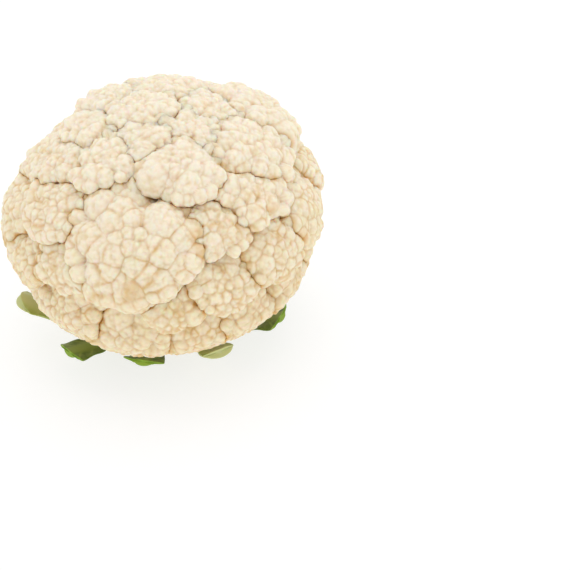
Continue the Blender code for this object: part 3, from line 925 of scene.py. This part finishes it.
def turn_stalk():
    """(points, quads, triangles, attributes). The profile runs from the middle of the cut foot outwards,
    round its edge, up the trunk and over the core inside the head. Low waves run up the skin, and scars
    are shallow dents."""
    low, high = (np.array(corner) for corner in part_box("stalk"))
    widest = (high[0] - low[0]) / 2
    foot = 0.89 * widest
    trunk = HUB[2]
    profile_radius = [0.0005, 0.5 * foot, foot - 0.0015, foot - 0.0004, foot, 0.95 * widest, 0.985 * widest]
    profile_height = [0, 0, 0, 0.0004, 0.0015, 0.5 * trunk, trunk]
    lean = np.linspace(0.05, math.pi / 2 - 0.02, 24)
    profile_radius = np.concatenate([profile_radius, 0.985 * widest * np.cos(lean)])
    profile_height = np.concatenate([profile_height, trunk + (high[2] - trunk - 0.0005) * np.sin(lean)])
    steps = np.hypot(np.diff(profile_radius), np.diff(profile_height))
    length = np.concatenate([[0], np.cumsum(steps)])
    share = np.linspace(0, 1, STALK_ROWS)
    even = length[-1] * (0.72 * share + 0.28 * share**3)
    radius = np.interp(even, length, profile_radius)[:, None]
    height = low[2] + np.interp(even, length, profile_height)[:, None]
    turn = np.linspace(0, 2 * math.pi, STALK_AROUND, endpoint=False)[None]
    skin = np.clip((height - 0.001) / 0.003, 0, 1)
    waves = 0.00035 * np.sin(9 * turn + 60 * height) + 0.0002 * np.sin(23 * turn - 90 * height)
    # A scar: a crescent dent a fifth of the way round. Each is higher than the last and a golden angle on.
    scars = np.zeros_like(radius * turn)
    for scar in range(SCARS):
        middle = (scar * GOLDEN_ANGLE) % (2 * math.pi)
        apart = (turn - middle + math.pi) % (2 * math.pi) - math.pi
        level = 0.005 + 0.0035 * scar - 0.003 * (apart / 0.6) ** 2
        scars = np.maximum(scars, np.exp(-(((height - level) / 0.0011) ** 2)) * (np.abs(apart) < 0.65))
    radius = radius + skin * (waves - 0.0007 * scars)
    centres = np.array([[0, 0, low[2]], [0, 0, high[2] - 0.0003]])
    points = np.concatenate([turned(radius, turn, height).reshape(-1, 3), centres])
    quads, triangles = tube_faces(STALK_ROWS, STALK_AROUND)
    numbers = {
        "scar": np.concatenate([(scars * skin).ravel(), [0, 0]]),
        "skin": np.concatenate([(skin * np.ones_like(turn)).ravel(), [0, 0]]),
    }
    return points, *facing_out(points, quads, triangles), numbers


points, quads, triangles, numbers = turn_stalk()
print("stalk points:", len(points))

# %% Cut stalk: moist pith inside, waxy skin outside
stalk_finish, tree = new_material("cut_stalk_and_skin")
place = add(tree, "TexCoord").outputs["Object"]
# The cut face: rings of pith, vessels and rind by the distance from the axis, which wobbles by up to 3 mm.
apart = add(tree, "SeparateXYZ", None, {"Vector": place}).outputs
flat = add(tree, "CombineXYZ", None, {"X": apart["X"], "Y": apart["Y"]}).outputs["Vector"]
from_axis = add(tree, "VectorMath", None, {"Vector": flat}, operation="LENGTH").outputs["Value"]
wobble = add(tree, "TexNoise", {"Scale": 1 / 0.004, "Detail": 2}, {"Vector": place}).outputs["Fac"]
shifted = add(tree, "Math", {1: 0.003}, {0: wobble, 2: from_axis}, operation="MULTIPLY_ADD").outputs[0]
ring = add(tree, "MapRange", {"From Max": 0.026}, {"Value": shifted}).outputs["Result"]
rings = [
    (0.0, "#EFE8CE"),
    (1.0, "#B7A56B"),
    (0.62, "#EAE1C0"),
    (0.74, "#D3C58F"),
    (0.80, "#E6DDB6"),
    (0.93, "#D6CB98"),
]
cut_face = add(tree, "ValToRGB", None, {"Fac": ring}, rings).outputs["Color"]
# The ends of the vessels, about 2 mm apart.
vessels = add(tree, "TexVoronoi", {"Scale": 1 / 0.0022}, {"Vector": flat}).outputs["Distance"]
limits = {"From Min": 0.15, "From Max": 0.35, "To Min": 0.35, "To Max": 0}
dots = add(tree, "MapRange", limits, {"Value": vessels}).outputs["Result"]
dotted = add(tree, "Mix", {"B": linear("#C9B878")}, {"Factor": dots, "A": cut_face}, data_type="RGBA")
# The skin: fibres 1.5 mm wide that run up the stalk, eight times as long as wide.
stretched = add(tree, "Mapping", {"Scale": (1, 1, 0.12)}, {"Vector": place}).outputs["Vector"]
fine = {"Scale": 1 / 0.0015, "Detail": 3}
streaks = add(tree, "TexNoise", fine, {"Vector": stretched}).outputs["Fac"]
greens = [(0.3, "#B9BE85"), (0.7, "#D7D8AC")]
fibres = add(tree, "ValToRGB", None, {"Fac": streaks}, greens).outputs["Color"]
scar, outside = (
    add(tree, "Attribute", attribute_name=name).outputs["Fac"] for name in ("scar", "skin")
)
scarred = add(tree, "Mix", {"B": linear("#A79A62")}, {"Factor": scar, "A": fibres}, data_type="RGBA")
both = {"Factor": outside, "A": dotted.outputs["Result"], "B": scarred.outputs["Result"]}
whole = add(tree, "Mix", None, both, data_type="RGBA")
bump = add(tree, "Bump", {"Strength": 0.25, "Distance": 0.0003}, {"Height": streaks})
pith = {
    "Roughness": 0.48,
    "IOR": 1.40,
    "Subsurface Weight": 0.25,
    "Subsurface Radius": (1, 0.8, 0.4),
    "Subsurface Scale": 0.003,
}
inputs = {"Base Color": whole.outputs["Result"], "Normal": bump.outputs["Normal"]}
shader = add(tree, "BsdfPrincipled", pith, inputs)
add(tree, "OutputMaterial", None, {"Surface": shader.outputs["BSDF"]})
piece = make_piece("cut_stalk", points, quads, triangles, stalk_finish, **numbers)
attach(piece, "root")
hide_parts("stalk")
print("made", stalk_finish.name, "with", len(tree.nodes), "nodes")

# %% [markdown]
# ## The studio
#
# A white floor that bends up into a white surround, and one large soft light overhead, give an even light
# that is almost without shadow. The floor glows a little, so that it stays white without throwing up more
# light than paper does. The camera is a short telephoto that looks down at 38 degrees.

# %% The floor
FLOOR_REACH, FLOOR_BEND, FLOOR_RISE = 2.2, 1.0, 3.5  # metres: flat, then a bend, then upright
FLOOR_GAP = 0.0003  # metres below the stalk's foot, so that the two faces don't flicker through each other
arc = np.linspace(0, math.pi / 2, 24)
turn = np.linspace(0, 2 * math.pi, 96, endpoint=False)
bend = FLOOR_REACH + FLOOR_BEND * np.sin(arc)
radius = np.concatenate([[0.02, 0.5, 1.0], bend, [FLOOR_REACH + FLOOR_BEND]])
rise = np.concatenate([[0, 0, 0], FLOOR_BEND * (1 - np.cos(arc)), [FLOOR_RISE]]) - FLOOR_GAP
points = turned(radius[:, None], turn, rise[:, None]).reshape(-1, 3)
ring = np.arange(len(points)).reshape(len(radius), len(turn))
after = np.roll(ring, -1, axis=1)
quads = np.stack([ring[:-1], ring[1:], after[1:], after[:-1]], axis=-1).reshape(-1, 4)
middle_point = np.full(len(turn), len(points))
triangles = np.stack([ring[0], after[0], middle_point], axis=-1)
points = np.concatenate([points, [[0, 0, -FLOOR_GAP]]])
floor_finish, tree = new_material("white_paper_floor")
paper = {"Base Color": linear("#989898"), "Roughness": 0.9}
glow = {"Emission Color": linear("#FFFFFF"), "Emission Strength": 0.72}
shader = add(tree, "BsdfPrincipled", paper | glow)
add(tree, "OutputMaterial", None, {"Surface": shader.outputs["BSDF"]})
floor = make_piece("floor", points, quads, triangles, floor_finish)
print("floor", round(2 * (FLOOR_REACH + FLOOR_BEND), 1), "m across")

# %% Light and camera
SURROUND_STRENGTH = 0.38
world = bpy.data.worlds.new("white_surround")
bpy.context.scene.world = world
world.use_nodes = True
surround = world.node_tree.nodes["Background"].inputs
surround["Color"].default_value = (1, 1, 1, 1)
surround["Strength"].default_value = SURROUND_STRENGTH


def aim(thing, target):
    """Turns a light or a camera so that its own minus Z points at the target."""
    way = Vector(target) - thing.location
    thing.rotation_euler = way.to_track_quat("-Z", "Y").to_euler()


key = bpy.data.lights.new("large_softbox", "AREA")
key.size = 1.2  # metres
key.energy = 6.4  # watts
softbox = bpy.data.objects.new("large_softbox", key)
softbox.location = (0.05, 0.1, 1.3)
aim(softbox, (0, 0, 0.08))
bpy.context.scene.collection.objects.link(softbox)

view_down = math.radians(38)
distance = 0.785  # metres from the head's middle
to_the_right, below_middle = 0.0712, 0.0426  # metres, which put the head at the upper left of the view
forward = np.array([0, math.cos(view_down), -math.sin(view_down)])
upward = np.array([0, math.sin(view_down), math.cos(view_down)])
lens = bpy.data.cameras.new("camera")
lens.lens = 85
lens.sensor_width = 36
camera = bpy.data.objects.new("camera", lens)
middle = np.array([0, 0, 0.085])
sideways = to_the_right * np.array([1, 0, 0])
camera.location = Vector(middle - distance * forward + sideways - below_middle * upward)
camera.rotation_euler = (math.pi / 2 - view_down, 0, 0)
bpy.context.scene.collection.objects.link(camera)
bpy.context.scene.camera = camera
bpy.context.scene.view_settings.view_transform = "Standard"
print("camera at", [round(value, 3) for value in camera.location])
